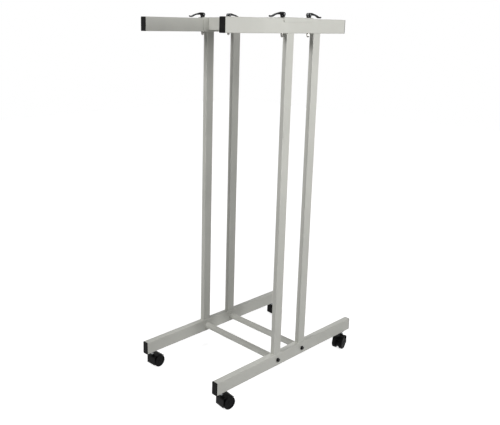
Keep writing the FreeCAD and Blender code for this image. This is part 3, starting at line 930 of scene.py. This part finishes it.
wheel_middle = (WHEEL_INNER_FACE + WHEEL_WIDTH / 2, 0, 0)
wheel = cylinder("castor_wheel", WHEEL_RADIUS, WHEEL_WIDTH, wheel_middle, ACROSS, sides=96)
pick(wheel, "EDGE", lambda middle, along: abs(along.x) < NEARLY)
bpy.ops.mesh.bevel(offset=TREAD_EDGE, segments=5)
pick(wheel, "FACE", lambda middle, normal: normal.x > NEARLY)
bpy.ops.mesh.inset(thickness=WHEEL_RADIUS - TREAD_EDGE - DISH_RADIUS)
bpy.ops.mesh.inset(thickness=DRAFT, depth=-DISH_DEPTH)
bpy.ops.mesh.inset(thickness=DISH_RADIUS - HUB_RADIUS - 2 * DRAFT)
bpy.ops.mesh.inset(thickness=DRAFT, depth=DISH_DEPTH)
bpy.ops.mesh.inset(thickness=HUB_BORDER)
bpy.ops.mesh.inset(thickness=DRAFT, depth=-DRAFT)
pick(wheel, "FACE", lambda middle, normal: normal.x < -NEARLY)
bpy.ops.mesh.inset(thickness=RIM - TREAD_EDGE)
extrude(WHEEL_HOLLOW, 0, 0)
bpy.ops.mesh.inset(thickness=WHEEL_RADIUS - RIM - HUB_RADIUS)
extrude(-WHEEL_HOLLOW, 0, 0)
bpy.ops.mesh.inset(thickness=HUB_RADIUS - WHEEL_BORE_RADIUS)
extrude(WHEEL_BORE_DEPTH, 0, 0)
tidy(wheel, 30)

for end in ENDS:
    for hand in ("inner", "outer"):
        faces_left = end.startswith("left") == (hand == "outer")
        place = Matrix.Translation(joints["roll_" + hand + "_" + end]["pos_m"]) @ castor_turns[end]
        name = "wheel_" + hand + "_" + end
        piece = carry(wheel, name, place @ HALF_TURN if faces_left else place)
        fit(piece, name, "wheel_plastic", "castor_" + name)
bpy.data.objects.remove(wheel)

# %% [markdown]
# ## Weld beads
# The uprights are welded all round to the foot and to the rail. The powder coat runs over the
# beads, so they show only as a soft fillet in the corner. A block a little larger than the
# upright, with a rounded outline and its top rim bevelled back to the upright, is that fillet.

# %% Model and place the weld beads
BEAD_LEG = 1.6 * MM
BEAD_SINK = 1 * MM
BEAD_BEVEL = 0.96 * BEAD_LEG
UPRIGHT_CORNER = 2.5 * MM

upright_low, upright_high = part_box("upright_left_front")
upright_width, upright_depth, _ = upright_high - upright_low
bead_size = (upright_width + 2 * BEAD_LEG, upright_depth + 2 * BEAD_LEG, BEAD_LEG + BEAD_SINK)
bead = block("weld_bead", bead_size, (0, 0, (BEAD_LEG - BEAD_SINK) / 2))
pick(bead, "EDGE", lambda middle, along: abs(along.z) > NEARLY)
bpy.ops.mesh.bevel(offset=UPRIGHT_CORNER + BEAD_LEG, segments=6)
pick(bead, "EDGE", lambda middle, along: middle.z > BEAD_LEG - MERGE)
bpy.ops.mesh.bevel(offset=BEAD_BEVEL, segments=3)
tidy(bead, 60)

upside_down = Matrix.Rotation(math.pi, 4, "X")
beads = []
for end in ENDS:
    low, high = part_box("upright_" + end)
    middle = middle_of("upright_" + end)
    foot_joint = Matrix.Translation((middle.x, middle.y, low.z))
    rail_joint = Matrix.Translation((middle.x, middle.y, high.z)) @ upside_down
    beads.append(carry(bead, "foot_bead_" + end, foot_joint))
    beads.append(carry(bead, "rail_bead_" + end, rail_joint))
welds = join(*beads)
welds.name = "painted_weld_beads"
fit(welds, "frame", "frame_paint")
bpy.data.objects.remove(bead)

# %% [markdown]
# ## Edges of the folded plates
# Laser-cut plate has square edges until the powder melts over them. A real edge is never quite
# sharp, and the thin line of light along it is what shows the plate's thickness. The stamped
# cups and washers have such edges too. The frame's meshes are loose triangles, so a Weld
# modifier joins them first, and a small Bevel follows.

# %% Soften the plates' edges
PLATE_EDGE = 0.5 * MM
PLATE_MERGE = 0.01 * MM
SHARP_ANGLE = math.radians(40)
SHEET_METAL = ("saddle", "bridge", "cam_cups", "bar_washers")

plates = [name for name in nodes if name.startswith(SHEET_METAL)]
for name in plates:
    weld = nodes[name].modifiers.new("weld", "WELD")
    weld.merge_threshold = PLATE_MERGE
    soften = nodes[name].modifiers.new("soften", "BEVEL")
    soften.width, soften.segments = PLATE_EDGE, 2
    soften.limit_method, soften.angle_limit = "ANGLE", SHARP_ANGLE
    soften.harden_normals = True
print("softened", sorted(plates))

# %% [markdown]
# ## A white world
# A studio's backdrop is white to look at and white in every reflection, but it gives little
# light of its own. The world here does the same: where a camera ray, a reflection or a
# refraction looks, it is full white, and for all other light it is almost dark.

# %% Make the world
WHITE = colour("ffffff")
WORLD_LIGHT = 0.015


def seen_rays(tree):
    """One where the camera, a reflection or a refraction looks, else nought."""
    ray = node(tree, "ShaderNodeLightPath")
    direct = node(
        tree,
        "ShaderNodeMath",
        {"operation": "MAXIMUM"},
        {0: ray.outputs["Is Camera Ray"], 1: ray.outputs["Is Glossy Ray"]},
    )
    every = node(
        tree,
        "ShaderNodeMath",
        {"operation": "MAXIMUM"},
        {0: direct.outputs["Value"], 1: ray.outputs["Is Transmission Ray"]},
    )
    return every.outputs["Value"]


world = bpy.data.worlds.new("white_studio")
bpy.context.scene.world = world
world.use_nodes = True
tree = world.node_tree
tree.nodes.clear()
lit = node(tree, "ShaderNodeBackground", {"Color": WHITE, "Strength": WORLD_LIGHT})
shown = node(tree, "ShaderNodeBackground", {"Color": WHITE, "Strength": 1.0})
sky = node(
    tree,
    "ShaderNodeMixShader",
    links={0: seen_rays(tree), 1: lit.outputs["Background"], 2: shown.outputs["Background"]},
)
node(tree, "ShaderNodeOutputWorld", links={"Surface": sky.outputs["Shader"]})
print("world light", WORLD_LIGHT)

# %% [markdown]
# ## The floor
# The floor shows mostly white to the camera, and lets just enough of its own shading through
# to keep the soft shadows under the castors. Farther out, where the lamps hardly reach, it
# fades to the full white of the backdrop, so no edge shows where the two meet.

# %% Lay the floor
FLOOR_GREY = colour("d0d0d0")
FLOOR_GLOW = 0.82
# In metres: the floor's width, and where its fade to white starts and stops.
FLOOR_SIZE = 14.0
FADE_START = 0.9
FADE_STOP = 2.6

hold()
bpy.ops.mesh.primitive_plane_add(size=FLOOR_SIZE)
floor = bpy.context.object
floor.name = "studio_floor"
matt = {"Base Color": FLOOR_GREY, "Emission Color": WHITE, "Roughness": 0.9}
floor_paint, tree, shader, place = new_material("white_studio_floor", matt)
reach = node(tree, "ShaderNodeVectorMath", {"operation": "LENGTH"}, {0: place})
fade = node(
    tree,
    "ShaderNodeMapRange",
    {"From Min": FADE_START, "From Max": FADE_STOP, "To Min": FLOOR_GLOW, "To Max": 1.0},
    {"Value": reach.outputs["Value"]},
)
glow = node(
    tree,
    "ShaderNodeMath",
    {"operation": "MULTIPLY"},
    {0: seen_rays(tree), 1: fade.outputs["Result"]},
)
tree.links.new(glow.outputs["Value"], shader.inputs["Emission Strength"])
floor.data.materials.append(floor_paint)
print(floor.name, FLOOR_SIZE, "m wide")

# %% [markdown]
# ## The lamps
# The main lamp stands in front, a little left of the rack's middle, and throws the nuts' small
# shadows. Two lamps on the right, one far and one near, brighten the sides that face them, and
# a weak one behind keeps the rear faces from going black.

# %% Set up the lamps
# Each lamp: where it stands and what it looks at, its size in metres and its power in watts.
LAMPS = {
    "lamp_front": ((-0.39, -2.80, 2.50), (0.0, 0.0, 1.0), 0.7, 51.0),
    "lamp_right": ((2.83, 0.0, 2.50), (0.0, 0.0, 1.0), 0.7, 21.0),
    "lamp_near": ((1.70, 0.0, 1.50), (0.1, 0.0, 0.9), 0.5, 14.5),
    "lamp_rear": ((-1.41, 2.45, 2.50), (0.0, 0.0, 1.0), 0.7, 12.0),
}
for name, (lamp_place, target, size, power) in LAMPS.items():
    bpy.ops.object.light_add(type="AREA", location=lamp_place)
    lamp = bpy.context.object
    lamp.name = name
    lamp.data.size = size
    lamp.data.energy = power
    aim = Vector(target) - Vector(lamp_place)
    lamp.rotation_euler = aim.to_track_quat("-Z", "Y").to_euler()
print("lamps:", sorted(LAMPS))

# %% [markdown]
# ## Finish

# %% Finish
print("the scene is ready")
